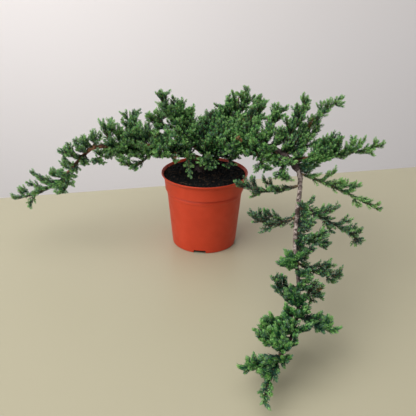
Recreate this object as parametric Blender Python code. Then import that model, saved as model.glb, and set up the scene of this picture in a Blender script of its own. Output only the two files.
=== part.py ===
"""Trailing juniper, started as a bonsai, in its round plastic nursery pot.

The pot is a thin turned shell with four drain notches, full of potting mix. A short leaning trunk
stands on the mix and carries nine boughs, each one tapering limb. Every bough carries masses of
foliage: one stem with side twigs, all clad in needles, which are drawn here as toothed cores.
Tables are in millimetres in the pot's frame: X to the right, Y to the back, Z up from the table.
"""

import math
import random

import bmesh
import bpy
import numpy as np
from mathutils import Vector
from mathutils.bvhtree import BVHTree

MM = 0.001
GAP = 0.35  # clearance between two pieces that touch in the real plant, mm

# ---- Pot and potting mix, mm ----
POT_HEIGHT = 92.0
RIM_RADIUS = 52.5
LIP_THICKNESS = 1.1
LIP_HEIGHT = 6.0
COLLAR_TOP_RADIUS = 49.2
COLLAR_FOOT_RADIUS = 47.2
COLLAR_FOOT_HEIGHT = 72.0
WALL_TOP_RADIUS = 45.6
WALL_TOP_HEIGHT = 66.5
BASE_RADIUS = 39.4
BASE_EDGE = 1.2
WALL = 0.95
FLOOR = 1.3
POT_SEGMENTS = 40
NOTCHES = 4
NOTCH_WIDTH = 14.5
NOTCH_HEIGHT = 2.6
NOTCH_DEPTH = 7.0
NOTCH_TURN = math.radians(-97.5)
SOIL_SEGMENTS = 28
SOIL_EDGE_HEIGHT = 89.3
SOIL_TOP_HEIGHT = 90.1
SOIL_FLAT_RADIUS = 26.0

# ---- Limbs, mm ----
TRUNK_FOOT = Vector((-5.0, 8.0, SOIL_TOP_HEIGHT + GAP))
TRUNK_TOP = Vector((7.0, 3.0, 118.0))
TRUNK_RADII = (6.4, 4.9)
ROOT_FLARE = 2.6
FLARE_FADE = 7.0
LIMB_SIDES = 7
LIMB_RING_PITCH = 14.0
LEAD = 0.12  # how far a limb runs straight on from the tip it continues, as a share of its span

# name: (parent, place along the parent, tip, bow of the middle, (root radius, tip radius))
LIMBS = {
    "bough_left_inner": ("trunk", 0.55, (-130, -18, 127), (0, -8, 13), (3.4, 2.5)),
    "bough_left_outer": ("bough_left_inner", 1.0, (-171, -18, 86), (2, 0, 2), (2.4, 1.4)),
    "bough_right": ("trunk", 1.0, (101, -80, 126), (4, -4, 27), (4.2, 3.3)),
    "cascade_upper": ("bough_right", 1.0, (90, -181, 73), (-3, 2, 2), (2.6, 1.9)),
    "cascade_lower": ("cascade_upper", 1.0, (69, -276, 29), (15, 2, 0), (1.9, 1.3)),
    "bough_right_tip": ("bough_right", 0.93, (133, -73, 139), (0, 0, 2), (2.2, 1.7)),
    "leader_left": ("trunk", 0.8, (-34, 10, 152), (-4, 3, -4), (3.2, 1.9)),
    "leader_right": ("trunk", 0.93, (36, 16, 154), (3, 4, -4), (3.2, 1.9)),
    "bough_rear": ("trunk", 0.6, (6, 56, 128), (0, 2, 6), (3.0, 1.9)),
}

# ---- Masses of foliage, mm ----
# name: (limb, place along the limb, tip, bow of the middle, length of the longest side twig, twigs, seed)
MASSES = {
    # the long left bough, from its far tip inwards
    "left_far": ("bough_left_outer", 1.0, (-230, -20, 63), (3, 0, -6), 31, 9, 11),
    "left_rise": ("bough_left_outer", 0.35, (-165, -30, 128), (2, -3, -4), 20, 5, 12),
    "left_drop": ("bough_left_outer", 0.92, (-165, -42, 80), (2, -4, -2), 15, 4, 13),
    "left_shoot": ("bough_left_outer", 0.05, (-123, -26, 139), (-2, 3, -2), 16, 6, 16),
    "left_crest": ("bough_left_inner", 0.8, (-109, -26, 156), (-4, -4, 0), 21, 7, 17),
    "left_plume": ("bough_left_inner", 0.6, (-83, -6, 166), (-5, 2, 0), 23, 7, 18),
    "left_under": ("bough_left_inner", 0.87, (-119, -46, 120), (-2, -6, -2), 16, 6, 19),
    "left_loop": ("bough_left_inner", 0.42, (-99, -40, 120), (0, -4, -12), 18, 6, 20),
    "left_rear": ("bough_left_inner", 0.5, (-92, 26, 127), (0, 6, 4), 24, 6, 21),
    # the crown over the pot, left half
    "crown_left_tall": ("leader_left", 1.0, (-52, 2, 184), (-4, 0, 2), 24, 7, 31),
    "crown_left_top": ("leader_left", 0.85, (-34, 18, 167), (4, 6, 0), 24, 7, 32),
    "crown_left_side": ("leader_left", 0.65, (-67, 2, 155), (-2, -4, 4), 23, 6, 33),
    "crown_left_low": ("bough_left_inner", 0.25, (-55, -44, 126), (2, -6, 0), 20, 6, 34),
    "crown_left_front": ("leader_left", 0.5, (-30, -34, 142), (0, -8, 4), 25, 7, 35),
    "crown_left_back": ("leader_left", 0.7, (-54, 46, 146), (0, 6, 6), 26, 6, 36),
    "crown_front": ("trunk", 0.72, (5, -38, 110), (0, -4, 10), 23, 7, 37),
    "soil_tuft": ("bough_left_inner", 0.1, (-17, -31, 97), (-1, -7, 8), 10, 3, 38),
    # the crown over the pot, right half
    "crown_middle": ("leader_right", 0.45, (1, 24, 147), (-2, 4, 0), 26, 6, 41),
    "crown_right_tall": ("leader_right", 1.0, (48, 8, 186), (4, 0, 0), 27, 7, 43),
    "crown_right_inner": ("leader_right", 0.85, (27, 24, 164), (-3, 6, 0), 24, 6, 44),
    "crown_right_back": ("leader_right", 0.8, (69, 40, 168), (6, 4, 0), 26, 6, 45),
    "crown_right_low": ("trunk", 0.85, (32, -37, 115), (4, -4, 6), 22, 6, 46),
    "crown_right_front": ("bough_right", 0.3, (34, -58, 140), (-2, -8, 2), 22, 7, 47),
    "crown_right_side": ("bough_right", 0.38, (69, 0, 175), (2, 4, 0), 25, 8, 48),
    # the right bough and its fork
    "right_crest": ("bough_right", 0.6, (87, -26, 179), (2, 4, 0), 23, 7, 51),
    "right_plume": ("bough_right", 0.8, (110, -54, 197), (2, 0, 0), 25, 8, 52),
    "right_front": ("bough_right", 0.55, (67, -84, 127), (-2, -4, 2), 24, 7, 53),
    "right_under": ("bough_right", 0.75, (84, -104, 124), (2, -6, 2), 20, 6, 54),
    "right_rear": ("bough_right", 0.7, (112, -18, 146), (4, 6, 4), 24, 6, 55),
    "right_inner_lift": ("bough_right", 0.96, (126, -48, 166), (0, 4, 2), 19, 7, 56),
    "right_lift": ("bough_right", 0.86, (148, -50, 198), (-4, 4, 0), 22, 7, 57),
    "right_far": ("bough_right_tip", 1.0, (191, -70, 152), (0, 0, -2), 27, 9, 58),
    "right_droop": ("cascade_upper", 0.08, (189, -102, 89), (0, 0, 2), 26, 7, 59),
    # the branch that trails down to the table
    "cascade_left_upper": ("cascade_upper", 0.28, (34, -95, 115), (0, -2, -7), 24, 7, 61),
    "cascade_left_lower": ("cascade_upper", 0.62, (46, -128, 96), (0, -2, -10), 21, 7, 62),
    "cascade_right_upper": ("cascade_upper", 0.54, (164, -136, 68), (0, 0, 3), 26, 9, 73),
    "cascade_right_middle": ("cascade_upper", 0.76, (120, -160, 80), (0, 0, -3), 26, 7, 64),
    "cascade_right_lower": ("cascade_lower", 0.08, (134, -188, 58), (0, 0, -5), 22, 7, 65),
    "cascade_left_tuft": ("cascade_lower", 0.4, (68, -214, 64), (0, 2, -6), 19, 6, 67),
    "cascade_right_tuft": ("cascade_lower", 0.34, (111, -218, 52), (0, 0, -2), 17, 6, 68),
    "tail_left": ("cascade_lower", 0.62, (51, -250, 34), (0, 0, -4), 17, 7, 69),
    "tail_right": ("cascade_lower", 0.66, (121, -246, 34), (0, 0, -2), 15, 7, 70),
    "tail_middle_left": ("cascade_lower", 0.86, (50, -262, 38), (0, 0, -3), 14, 6, 74),
    "tail_low_left": ("cascade_lower", 0.97, (37, -288, 23), (0, 0, -4), 13, 5, 75),
    "tail": ("cascade_lower", 1.0, (53, -319, 14), (-4, 0, -1), 13, 4, 77),
    # the back of the crown
    "rear_middle": ("bough_rear", 1.0, (12, 93, 124), (0, 0, 4), 28, 6, 81),
    "rear_left": ("bough_rear", 0.7, (-38, 82, 126), (-4, 4, 4), 26, 6, 82),
    "rear_right": ("bough_rear", 0.55, (60, 64, 134), (4, 4, 4), 26, 6, 83),
}
STEM_RADIUS = 1.3
BARE_SHARE = 0.1  # of a stem, before its needles start
STEM_TOOTH = 4.2
STEM_TOOTH_PITCH = 13.0
TWIG_TOOTH = 4.3
TWIG_TOOTH_PITCH = 10.0
TOOTH_WAIST = 0.5  # radius between two teeth, as a share of the teeth
TOOTH_TAPER = 0.35  # the last tooth is about this much smaller than the first
TOOTH_BACK = 0.12  # how soon after a tooth its waist comes, as a share of the pitch
TWIG_OPENING = 48.0  # degrees off the stem
TWIG_JITTER = 9.0
TWIG_LIFT = 0.12  # a side twig curves up by this share of its length
TWIG_TAPER = 0.70  # the last side twig is this much shorter than the first
TWIG_FIRST, TWIG_LAST = 0.16, 0.94  # places of side twigs along a stem
TWIG_AROUND = (65, -65, 0, 120, -120, 15)  # degrees round the stem from its upper side
TWIG_CUTS = (1.0, 0.75, 0.55)  # a twig that doesn't fit is tried shorter, then skipped
SHORTEST_TWIG = 7.0
TABLE_CLEARANCE = 2.0

FOLIAGE_GREEN = (0.045, 0.13, 0.05, 1.0)
BARK_BROWN = (0.17, 0.09, 0.055, 1.0)
POT_ORANGE = (0.60, 0.085, 0.03, 1.0)
SOIL_BLACK = (0.012, 0.012, 0.011, 1.0)


# ---- Scene and materials ----
def clear_scene():
    for old in list(bpy.data.objects):
        bpy.data.objects.remove(old, do_unlink=True)


def finish_of(name, colour, roughness):
    material = bpy.data.materials.new(name)
    material.use_nodes = True
    surface = material.node_tree.nodes["Principled BSDF"]
    surface.inputs["Base Color"].default_value = colour
    surface.inputs["Roughness"].default_value = roughness
    surface.inputs["Metallic"].default_value = 0.0
    return material


def object_of(name, bm, material, holder=None):
    """The bmesh, in millimetres, as a named object in metres."""
    bmesh.ops.scale(bm, vec=(MM, MM, MM), verts=bm.verts)
    mesh = bpy.data.meshes.new(name)
    bm.to_mesh(mesh)
    bm.free()
    mesh.materials.append(material)
    piece = bpy.data.objects.new(name, mesh)
    (holder or bpy.context.scene.collection).objects.link(piece)
    return piece


# ---- Pot and potting mix ----
def turned(profile, segments):
    """A closed solid turned round Z from a profile that starts and ends on the axis."""
    bm = bmesh.new()
    points = [bm.verts.new((radius, 0, height)) for radius, height in profile]
    edges = [bm.edges.new(pair) for pair in zip(points, points[1:])]
    bmesh.ops.spin(bm, geom=points + edges, cent=(0, 0, 0), axis=(0, 0, 1), angle=math.tau,
                   steps=segments, use_merge=True)
    bmesh.ops.remove_doubles(bm, verts=bm.verts, dist=1e-4)
    bmesh.ops.recalc_face_normals(bm, faces=bm.faces)
    return bm


def pot_profile():
    lip_foot = POT_HEIGHT - LIP_HEIGHT
    return [
        (0, 0),
        (BASE_RADIUS - BASE_EDGE, 0),
        (BASE_RADIUS, BASE_EDGE),
        (WALL_TOP_RADIUS, WALL_TOP_HEIGHT),
        (COLLAR_FOOT_RADIUS, COLLAR_FOOT_HEIGHT),
        (COLLAR_TOP_RADIUS, lip_foot),
        ((COLLAR_TOP_RADIUS + RIM_RADIUS) / 2 - 0.4, lip_foot + LIP_HEIGHT / 2),
        (RIM_RADIUS, POT_HEIGHT - 0.8),
        (RIM_RADIUS - 0.2, POT_HEIGHT),
        (RIM_RADIUS - LIP_THICKNESS, POT_HEIGHT),
        (COLLAR_TOP_RADIUS - WALL, lip_foot + 0.6),
        (COLLAR_FOOT_RADIUS - WALL, COLLAR_FOOT_HEIGHT),
        (WALL_TOP_RADIUS - WALL, WALL_TOP_HEIGHT - 0.5),
        (BASE_RADIUS - WALL, FLOOR),
        (0, FLOOR),
    ]


def make_pot():
    pot = object_of("pot", turned(pot_profile(), POT_SEGMENTS), finish_of("pot_plastic", POT_ORANGE, 0.45))
    pot.data.shade_smooth()
    pot.data.set_sharp_from_angle(angle=math.radians(35))
    for number in range(NOTCHES):
        turn = NOTCH_TURN + number * math.tau / NOTCHES
        bm = bmesh.new()
        bmesh.ops.create_cube(bm, size=1)
        reach = NOTCH_DEPTH + 4
        bmesh.ops.scale(bm, vec=(reach, NOTCH_WIDTH, 2 * NOTCH_HEIGHT), verts=bm.verts)
        bmesh.ops.translate(bm, vec=(BASE_RADIUS - NOTCH_DEPTH + reach / 2, 0, 0), verts=bm.verts)
        cutter = object_of(f"notch_cutter_{number}", bm, pot.data.materials[0])
        cutter.rotation_euler.z = turn
        cutter.hide_render = True
        cutter.display_type = "WIRE"
        cut = pot.modifiers.new(f"notch_{number}", "BOOLEAN")
        cut.operation = "DIFFERENCE"
        cut.object = cutter


def make_soil():
    """One plug that fills the pot, flat where the trunk stands and falling a little to the wall."""
    slope = (RIM_RADIUS - LIP_THICKNESS - COLLAR_TOP_RADIUS + WALL) / (LIP_HEIGHT - 0.6)
    edge_radius = COLLAR_TOP_RADIUS - WALL + slope * (SOIL_EDGE_HEIGHT - POT_HEIGHT + LIP_HEIGHT - 0.6)
    profile = [
        (0, FLOOR + GAP),
        (BASE_RADIUS - WALL - 2 * GAP, FLOOR + GAP),
        (WALL_TOP_RADIUS - WALL - 1.5 * GAP, WALL_TOP_HEIGHT),
        (COLLAR_FOOT_RADIUS - WALL - 1.5 * GAP, COLLAR_FOOT_HEIGHT),
        (COLLAR_TOP_RADIUS - WALL - 1.5 * GAP, POT_HEIGHT - LIP_HEIGHT + 0.6),
        (edge_radius - 1.5 * GAP, SOIL_EDGE_HEIGHT),
        (SOIL_FLAT_RADIUS, SOIL_TOP_HEIGHT),
        (0, SOIL_TOP_HEIGHT),
    ]
    object_of("potting_mix", turned(profile, SOIL_SEGMENTS), finish_of("potting_mix", SOIL_BLACK, 0.95))


# ---- Curves ----
def bent_line(start, tip, bow, lead=None, pitch=1.0):
    """Points every `pitch` mm or so on a curve whose middle stands off its chord by `bow`. With a
    lead, the curve leaves the start in that direction."""
    start, tip = Vector(start), Vector(tip)
    span = (tip - start).length
    handle = (start + tip) / 2 + 2 * Vector(bow)
    first = start + (handle - start) * 2 / 3 if lead is None else start + lead * span * LEAD
    last = tip + (handle - tip) * 2 / 3
    steps = max(4, round(span / pitch))
    points = []
    for step in range(steps + 1):
        t = step / steps
        points.append((1 - t) ** 3 * start + 3 * t * (1 - t) ** 2 * first + 3 * t * t * (1 - t) * last + t**3 * tip)
    return points


def tangent_at(points, index):
    low, high = max(index - 1, 0), min(index + 1, len(points) - 1)
    return (points[high] - points[low]).normalized()


def lengths_along(points):
    run = [0.0]
    for here, there in zip(points, points[1:]):
        run.append(run[-1] + (there - here).length)
    return run


def level_frame(direction):
    """(side, up) square to a direction, with `up` as high as it can be."""
    side = direction.cross(Vector((0, 0, 1)))
    if side.length < 0.2:
        side = direction.cross(Vector((0, 1, 0)))
    side.normalize()
    return side, side.cross(direction)


def frames_along(points):
    """(side, up) at every point, carried along without twist from a level start."""
    side = level_frame(tangent_at(points, 0))[0]
    frames = []
    for index in range(len(points)):
        direction = tangent_at(points, index)
        side = (side - direction * side.dot(direction)).normalized()
        frames.append((side, side.cross(direction)))
    return frames


def ring(centre, frame, radius, sides, turn=0.0):
    side, up = frame
    angles = [turn + math.tau * k / sides for k in range(sides)]
    return [centre + radius * (math.cos(a) * side + math.sin(a) * up) for a in angles]


def skin(rings, tip=None, root=None):
    """A closed solid over the rings. Either end is flat, or runs to the point given for it."""
    bm = bmesh.new()
    loops = [[bm.verts.new(point) for point in points] for points in rings]
    sides = len(loops[0])
    for low, high in zip(loops, loops[1:]):
        for k in range(sides):
            nxt = (k + 1) % sides
            bm.faces.new((low[k], low[nxt], high[k]))
            bm.faces.new((low[nxt], high[nxt], high[k]))
    for loop, end in ((loops[0], root), (loops[-1], tip)):
        if end is None:
            bm.faces.new(loop)
            continue
        point = bm.verts.new(end)
        for k in range(sides):
            bm.faces.new((loop[k], loop[(k + 1) % sides], point))
    bmesh.ops.recalc_face_normals(bm, faces=bm.faces)
    return bm


# ---- Limbs ----
class Limb:
    """A tapering limb: its axis, every millimetre or so, its radius there, and its surface."""

    def __init__(self, points, radii, flare=0.0):
        run = lengths_along(points)
        self.points = points
        self.shares = [length / run[-1] for length in run]
        self.radii = [
            radii[0] + (radii[1] - radii[0]) * share + flare * math.exp(-FLARE_FADE * share)
            for share in self.shares
        ]
        self.axis = np.array([tuple(point) for point in points])
        self.flats = np.array(self.radii) * math.cos(math.pi / LIMB_SIDES)
        solid = self.solid()
        self.surface = BVHTree.FromBMesh(solid)
        solid.free()

    def at(self, place):
        index = round(place * (len(self.points) - 1))
        return self.points[index], tangent_at(self.points, index)

    def solid(self):
        """The limb as a bmesh, with rings closer together where a root flare widens it."""
        frames = frames_along(self.points)
        last = len(self.points) - 1
        count = max(2, round(last / LIMB_RING_PITCH))
        picks = {round(k * last / count) for k in range(count + 1)}
        if self.radii[0] > self.radii[-1] + ROOT_FLARE:
            picks |= {2, 5, 10}
        rings = [ring(self.points[k], frames[k], self.radii[k], LIMB_SIDES) for k in sorted(picks)]
        if self.points[0] == TRUNK_FOOT:
            for point in rings[0]:
                point.z = TRUNK_FOOT.z
        return skin(rings)


def surface_distance(point, limbs):
    """How far a point lies outside the nearest limb, in mm, or less than 0 inside one."""
    nearest = math.inf
    for limb in limbs:
        depth = float((np.linalg.norm(limb.axis - np.array(point), axis=1) - limb.flats).min())
        if depth < nearest:
            nearest = depth if depth < 0 else min(nearest, limb.surface.find_nearest(point)[3])
    return nearest


def leave_limbs(points, radius, sides, turn, limbs):
    """The line from where a flat end of that size first clears every limb, in steps ten times as long."""
    for index in range(len(points) - 1):
        frame = level_frame(tangent_at(points[index:], 0))
        end = ring(points[index], frame, radius, sides, turn)
        rim = [low.lerp(high, share / 4) for low, high in zip(end, end[1:] + end[:1]) for share in range(4)]
        if min(surface_distance(point, limbs) for point in rim) >= GAP:
            return points[index:-5:10] + points[-1:]
    raise ValueError("a stem never leaves its limb")


def start_of(limb, place, tip, bow, radius, sides, turn, limbs):
    """The axis of what grows from a limb: on from its tip face to face, or out of its side."""
    point, direction = limb.at(place)
    if place == 1.0:
        return bent_line(point + direction * GAP, tip, bow, direction)
    return leave_limbs(bent_line(point, tip, bow, None, 0.1), radius, sides, turn, limbs)


def grow_limbs():
    foot = bent_line(TRUNK_FOOT, TRUNK_TOP, (-2, 0, 0), Vector((0, 0, 1)))
    limbs = {"trunk": Limb(foot, TRUNK_RADII, ROOT_FLARE)}
    for name, (parent, place, tip, bow, radii) in LIMBS.items():
        line = start_of(limbs[parent], place, tip, bow, radii[0], LIMB_SIDES, 0.0, limbs.values())
        limbs[name] = Limb(line, radii)
    return limbs


def make_limb(name, limb, bark):
    piece = object_of(name, limb.solid(), bark)
    piece.data.shade_smooth()
    piece.data.set_sharp_from_angle(angle=math.radians(50))


# ---- Foliage ----
def core_stations(length, tooth, pitch, bare=0.0):
    """(length, radius) at each ring of a toothed core. A core with a bare length starts as a plain
    twig with a flat end, and any other starts from a point."""
    teeth = max(2, round((length - bare) / pitch))
    step = (length - bare) / (teeth + 0.35)
    stations = [(0.0, STEM_RADIUS), (bare, STEM_RADIUS)] if bare else []
    for number in range(teeth):
        place = bare + (number + 0.75) * step
        size = tooth * (1 - TOOTH_TAPER * (number / teeth) ** 2)
        stations.append((place, size))
        if number < teeth - 1:
            stations.append((place + TOOTH_BACK * step, size * TOOTH_WAIST))
    return stations


def toothed_core(points, stations, flat_root):
    """Three-sided core along a line. Its corners swell into teeth, which alternate round it."""
    run = lengths_along(points)
    frames = frames_along(points)
    rings = []
    for number, (length, radius) in enumerate(stations):
        index = min(range(len(run)), key=lambda k: abs(run[k] - length))
        rings.append(ring(points[index], frames[index], radius, 3, math.pi / 2 + number * math.pi / 3))
    return skin(rings, tip=points[-1], root=None if flat_root else points[0])


def thickness_along(points, stations, flat_root):
    """The radius of a core at each of its line's points."""
    run = lengths_along(points)
    ends = stations + [(run[-1], 0.0)] if flat_root else [(0.0, 0.0)] + stations + [(run[-1], 0.0)]
    return np.interp(run, [length for length, _ in ends], [radius for _, radius in ends])


def twig_line(stem, frames, place, around, opening, length):
    """The axis of one side twig: off the stem at an opening angle, curving up a little."""
    index = round(place * (len(stem) - 1))
    side, up = frames[index]
    outward = math.cos(around) * up + math.sin(around) * side
    direction = math.cos(opening) * tangent_at(stem, index) + math.sin(opening) * outward
    tip = stem[index] + direction * length + Vector((0, 0, TWIG_LIFT * length))
    return bent_line(stem[index], tip, (0, 0, -TWIG_LIFT * length / 4))


def in_pot(point, radius):
    return point[2] < POT_HEIGHT + radius + GAP and math.hypot(point[0], point[1]) < RIM_RADIUS + radius + GAP


class Crown:
    """What has grown so far: every mass's stem, and the thickness of stems and twigs at each point."""

    def __init__(self, limbs):
        self.limbs = list(limbs)
        self.stems = {}
        self.places = {}
        self.radii = {}

    def add(self, name, points, radii):
        places = np.array([tuple(point) for point in points])
        if name not in self.stems:
            self.stems[name] = self.places[name] = places
            self.radii[name] = radii
            return
        self.places[name] = np.concatenate([self.places[name], places])
        self.radii[name] = np.concatenate([self.radii[name], radii])

    def has_room(self, name, points, radii):
        """True if a twig keeps to its mass's space, which is all that is nearer its stem than any
        other's, and is clear of the other masses, the limbs, the pot and the table."""
        for point, radius in zip(np.array([tuple(point) for point in points]), radii):
            own = np.linalg.norm(self.stems[name] - point, axis=1).min()
            if surface_distance(point, self.limbs) < radius + GAP or in_pot(point, radius):
                return False
            if point[2] < radius + TABLE_CLEARANCE:
                return False
            for other, places in self.places.items():
                if other == name:
                    continue
                if np.linalg.norm(self.stems[other] - point, axis=1).min() < own:
                    return False
                if (np.linalg.norm(places - point, axis=1) - self.radii[other]).min() < radius + GAP:
                    return False
        return True


def grow_twigs(name, stem, crown):
    """The axes and stations of a mass's side twigs, by a rule that its seed varies."""
    longest, count, seed = MASSES[name][4:]
    frames = frames_along(stem)
    chance = random.Random(seed)
    twigs = []
    for number in range(count):
        share = (number + 0.5) / count
        place = TWIG_FIRST + (TWIG_LAST - TWIG_FIRST) * share
        around = math.radians(TWIG_AROUND[(number + seed) % len(TWIG_AROUND)] + chance.uniform(-18, 18))
        opening = math.radians(TWIG_OPENING + chance.uniform(-TWIG_JITTER, TWIG_JITTER))
        length = longest * (1 - TWIG_TAPER * share) * chance.uniform(0.88, 1.1)
        for cut in TWIG_CUTS:
            line = twig_line(stem, frames, place, around, opening, length * cut)
            stations = core_stations(lengths_along(line)[-1], TWIG_TOOTH, TWIG_TOOTH_PITCH)
            radii = thickness_along(line, stations, False)
            if length * cut >= SHORTEST_TWIG and crown.has_room(name, line, radii):
                crown.add(name, line, radii)
                twigs.append((line, stations))
                break
    return twigs


def keep_one_body(mesh):
    """Drops what the union leaves over: loose scraps and hollows sealed inside."""
    bm = bmesh.new()
    bm.from_mesh(mesh)
    unseen = set(bm.faces)
    bodies = []
    while unseen:
        body, border = [], [unseen.pop()]
        while border:
            face = border.pop()
            body.append(face)
            near = {other for edge in face.edges for other in edge.link_faces} & unseen
            unseen -= near
            border += near
        bodies.append(body)
    bodies.sort(key=len)
    scraps = [face for body in bodies[:-1] for face in body]
    bmesh.ops.delete(bm, geom=scraps, context="FACES")
    bm.to_mesh(mesh)
    bm.free()


def make_mass(name, stem, stations, twigs, green):
    """One mass: a stem and its twigs, fused by one union."""
    piece = object_of(name, toothed_core(stem, stations, True), green)
    parts = bpy.data.collections.new(f"{name}_twigs")
    bpy.context.scene.collection.children.link(parts)
    for number, (line, twig_stations) in enumerate(twigs):
        object_of(f"{name}_twig_{number}", toothed_core(line, twig_stations, False), green, parts)
    fuse = piece.modifiers.new("fuse", "BOOLEAN")
    fuse.operation = "UNION"
    fuse.operand_type = "COLLECTION"
    fuse.solver = "MANIFOLD"
    fuse.collection = parts
    bpy.context.view_layer.update()
    whole = bpy.data.meshes.new_from_object(piece.evaluated_get(bpy.context.evaluated_depsgraph_get()))
    piece.modifiers.remove(fuse)
    piece.data = whole
    keep_one_body(whole)
    for old in list(parts.objects):
        bpy.data.objects.remove(old, do_unlink=True)
    bpy.data.collections.remove(parts)


def make_foliage(limbs, green):
    crown = Crown(limbs.values())
    stems = {}
    for name, (limb, place, tip, bow, *_) in MASSES.items():
        line = start_of(limbs[limb], place, tip, bow, STEM_RADIUS, 3, math.pi / 2, limbs.values())
        length = lengths_along(line)[-1]
        stations = core_stations(length, STEM_TOOTH, STEM_TOOTH_PITCH, BARE_SHARE * length)
        stems[name] = (line, stations)
        crown.add(name, line, thickness_along(line, stations, True))
    total = 0
    for name, (line, stations) in stems.items():
        twigs = grow_twigs(name, line, crown)
        total += len(twigs)
        print(name, len(twigs), "of", MASSES[name][5], "twigs")
        make_mass(name, line, stations, twigs, green)
    print("twigs in all", total)


def main():
    clear_scene()
    make_pot()
    make_soil()
    bark = finish_of("bark", BARK_BROWN, 0.85)
    limbs = grow_limbs()
    for name, limb in limbs.items():
        make_limb(name, limb, bark)
    make_foliage(limbs, finish_of("foliage", FOLIAGE_GREEN, 0.6))


main()
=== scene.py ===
"""Looks of the trailing juniper in its orange nursery pot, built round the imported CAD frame.

Sizes are in millimetres in the pot's frame: X to the right, Y to the back, Z up from the table.
Only the lights and the scales of the finishes' patterns are in metres.
"""

import random
from math import copysign, cos, hypot, pi, radians, sin, sqrt, tau

import bmesh
import bpy
import numpy as np
from mathutils import Matrix, Vector, noise
from numpy.linalg import norm


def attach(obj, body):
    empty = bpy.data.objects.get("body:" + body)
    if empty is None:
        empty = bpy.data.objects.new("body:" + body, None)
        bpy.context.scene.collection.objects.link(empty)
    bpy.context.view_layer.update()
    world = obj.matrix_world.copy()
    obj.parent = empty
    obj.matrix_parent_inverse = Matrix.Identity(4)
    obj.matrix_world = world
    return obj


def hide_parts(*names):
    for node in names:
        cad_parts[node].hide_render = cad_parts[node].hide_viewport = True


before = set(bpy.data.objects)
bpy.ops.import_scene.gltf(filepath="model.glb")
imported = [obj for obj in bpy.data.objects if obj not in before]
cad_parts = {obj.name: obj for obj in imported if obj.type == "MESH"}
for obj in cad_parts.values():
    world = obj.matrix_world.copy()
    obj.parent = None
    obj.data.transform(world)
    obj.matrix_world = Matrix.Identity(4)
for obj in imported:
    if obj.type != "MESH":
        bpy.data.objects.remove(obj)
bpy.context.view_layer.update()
scene = bpy.context.scene

# ---- Nursery pot ----
# A thin shell of injection-moulded polypropylene: a tapering wall, a wider collar that a stacked
# pot rests on, and a lip turned outwards. Four drain notches are cut through the foot.
MM = 0.001
POT_SEGMENTS = 160
FOOT_RADIUS = 39.4
POT_OUTLINE = (  # (radius, height) up the outside, over the lip and down the inside
    (0, 0.9), (30.0, 0.9), (33.6, 0.8), (34.4, 0.0), (38.2, 0.0), (38.9, 0.2), (39.3, 0.7),
    (39.45, 1.3), (39.55, 2.2), (42.0, 28.0), (44.0, 49.5), (45.2, 63.0), (45.3, 65.6),
    (45.5, 66.2), (45.85, 66.5), (45.95, 67.2), (45.9, 69.6), (45.3, 70.6), (45.2, 71.6),
    (47.5, 71.75), (47.85, 71.95), (48.0, 72.4), (48.05, 73.2), (48.5, 79.5), (49.1, 85.0),
    (49.2, 86.3), (49.35, 87.0), (50.0, 87.9), (51.0, 88.9), (51.9, 89.9), (52.4, 90.6),
    (52.58, 91.25), (52.5, 91.75),
    (52.1, 92.0), (51.7, 92.0), (51.4, 91.8), (51.0, 91.2), (50.2, 90.0), (49.2, 88.6),
    (48.6, 87.5), (48.3, 86.5), (47.5, 80.0), (46.0, 73.0), (44.6, 71.6), (44.4, 66.0),
    (42.8, 47.0), (38.5, 2.6), (38.0, 1.5), (37.2, 1.3), (0, 1.3),
)
NOTCHES = 4
FIRST_NOTCH = radians(-97.5)
NOTCH_SIZE = (15.0, 15.0, 7.8)
NOTCH_INSET = 1.5
NOTCH_ROUNDING = 0.6
SHARP_FOLD = radians(32)
ORANGES = ((0.3, (0.56, 0.040, 0.008)), (0.5, (0.60, 0.045, 0.010)), (0.72, (0.64, 0.052, 0.014)))


def set_out(name, data):
    """A mesh, lamp or camera put in the scene as an object."""
    thing = bpy.data.objects.new(name, data)
    scene.collection.objects.link(thing)
    return thing


def turned_shell(name, outline, segments):
    """A closed shell turned round Z from an outline that starts and ends on the axis."""
    middle = outline[1:-1]
    angles = [tau * k / segments for k in range(segments)]
    points = [(r * cos(a) * MM, r * sin(a) * MM, z * MM) for r, z in middle for a in angles]
    hub = len(points)
    points += [(0, 0, outline[0][1] * MM), (0, 0, outline[-1][1] * MM)]
    faces = []
    for row in range(len(middle) - 1):
        for k in range(segments):
            a, b = row * segments + k, row * segments + (k + 1) % segments
            faces.append((a, b, b + segments, a + segments))
    last = (len(middle) - 1) * segments
    for k in range(segments):
        faces.append((hub, (k + 1) % segments, k))
        faces.append((hub + 1, last + k, last + (k + 1) % segments))
    mesh = bpy.data.meshes.new(name)
    mesh.from_pydata(points, [], faces)
    mesh.update()
    return set_out(name, mesh)


def cut_notch(pot, turn):
    """One drain notch: a block with rounded long edges, taken out of the foot where it faces."""
    bm = bmesh.new()
    bmesh.ops.create_cube(bm, size=1)
    bmesh.ops.scale(bm, vec=[size * MM for size in NOTCH_SIZE], verts=bm.verts)
    half = 0.5 * NOTCH_SIZE[0] * MM
    edges = [edge for edge in bm.edges if abs(edge.verts[0].co.x - edge.verts[1].co.x) > half]
    bmesh.ops.bevel(bm, geom=edges, offset=NOTCH_ROUNDING * MM, segments=3, affect="EDGES")
    bmesh.ops.translate(bm, vec=((FOOT_RADIUS - NOTCH_INSET) * MM, 0, 0), verts=bm.verts)
    bmesh.ops.rotate(bm, cent=(0, 0, 0), matrix=Matrix.Rotation(turn, 3, "Z"), verts=bm.verts)
    mesh = bpy.data.meshes.new("notch_cutter")
    bm.to_mesh(mesh)
    bm.free()
    cutter = set_out("notch_cutter", mesh)
    cut = pot.modifiers.new("notch", "BOOLEAN")
    cut.operation = "DIFFERENCE"
    cut.solver = "EXACT"
    cut.object = cutter
    whole = bpy.data.meshes.new_from_object(pot.evaluated_get(bpy.context.evaluated_depsgraph_get()))
    pot.modifiers.clear()
    pot.data = whole
    bpy.data.objects.remove(cutter, do_unlink=True)


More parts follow.
